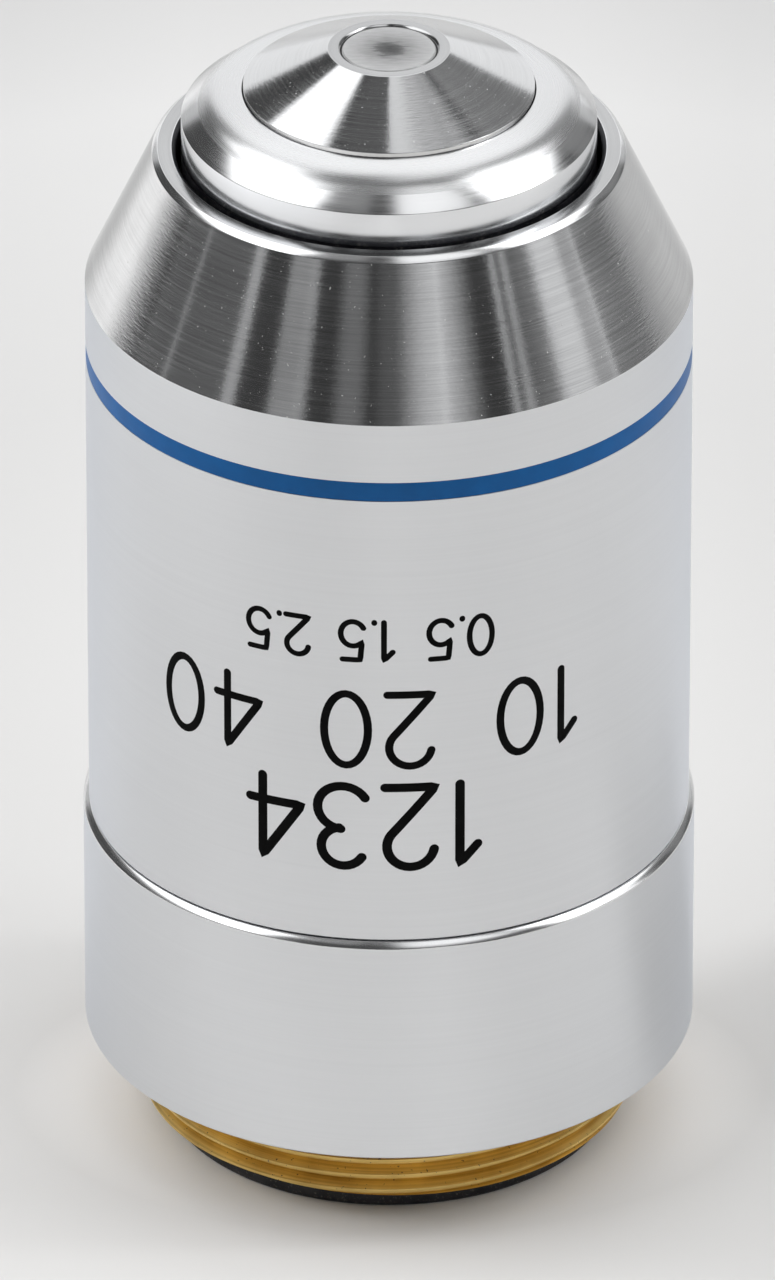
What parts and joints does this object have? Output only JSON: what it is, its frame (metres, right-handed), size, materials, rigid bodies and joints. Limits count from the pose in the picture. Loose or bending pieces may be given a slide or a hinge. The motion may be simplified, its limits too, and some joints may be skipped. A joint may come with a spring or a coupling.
{
  "type": "microscope objective",
  "caption": "Spring-loaded dry microscope objective: a sliding nose with its lens groups in a satin housing, with a blue colour band and a standard brass mounting thread.",
  "frame": {"origin": "centre of the rear end face, on the optical axis, the face that the objective stands on", "axes": "+Z along the optical axis, from the mounting thread to the front lens; the guide screw is on the -Y side"},
  "size_m": [0.025, 0.025, 0.0487],
  "materials": {
    "satin_chrome": "satin chrome plate on brass; the thread is bare brass",
    "bright_chrome": "bright turned and chrome plated",
    "brass": "plain turned brass",
    "black_metal": "blackened brass",
    "spring_steel": "bright spring steel",
    "blue_enamel": "glossy blue enamel",
    "glass": "polished optical glass"
  },
  "bodies": {
    "housing": {"mount_body": "satin_chrome", "rear_stop_ring": "black_metal", "outer_sleeve": "satin_chrome", "colour_band": "blue_enamel", "barrel_stop_ring": "black_metal", "guide_screw": "spring_steel", "return_spring": "spring_steel"},
    "nose": {"lens_barrel": "bright_chrome", "front_cell": "bright_chrome", "front_lens": "glass", "meniscus_cell": "brass", "meniscus_lens": "glass", "meniscus_spacer": "black_metal", "doublet_cell": "brass", "doublet_flint": "glass", "doublet_crown": "glass", "doublet_spacer": "black_metal", "triplet_cell": "brass", "triplet_front": "glass", "triplet_middle": "glass", "triplet_rear": "glass", "aperture_disc": "black_metal", "rear_doublet_cell": "brass", "rear_crown": "glass", "rear_flint": "glass", "retaining_ring": "black_metal"}
  },
  "joints": [
    {"name": "nose_slide", "type": "slide", "parent": "housing", "child": "nose", "axis": [0, 0, 1], "range_m": [-0.002, 0], "stiffness_N_per_m": 106, "springref_m": 0.018, "deforming": ["return_spring"]}
  ]
}
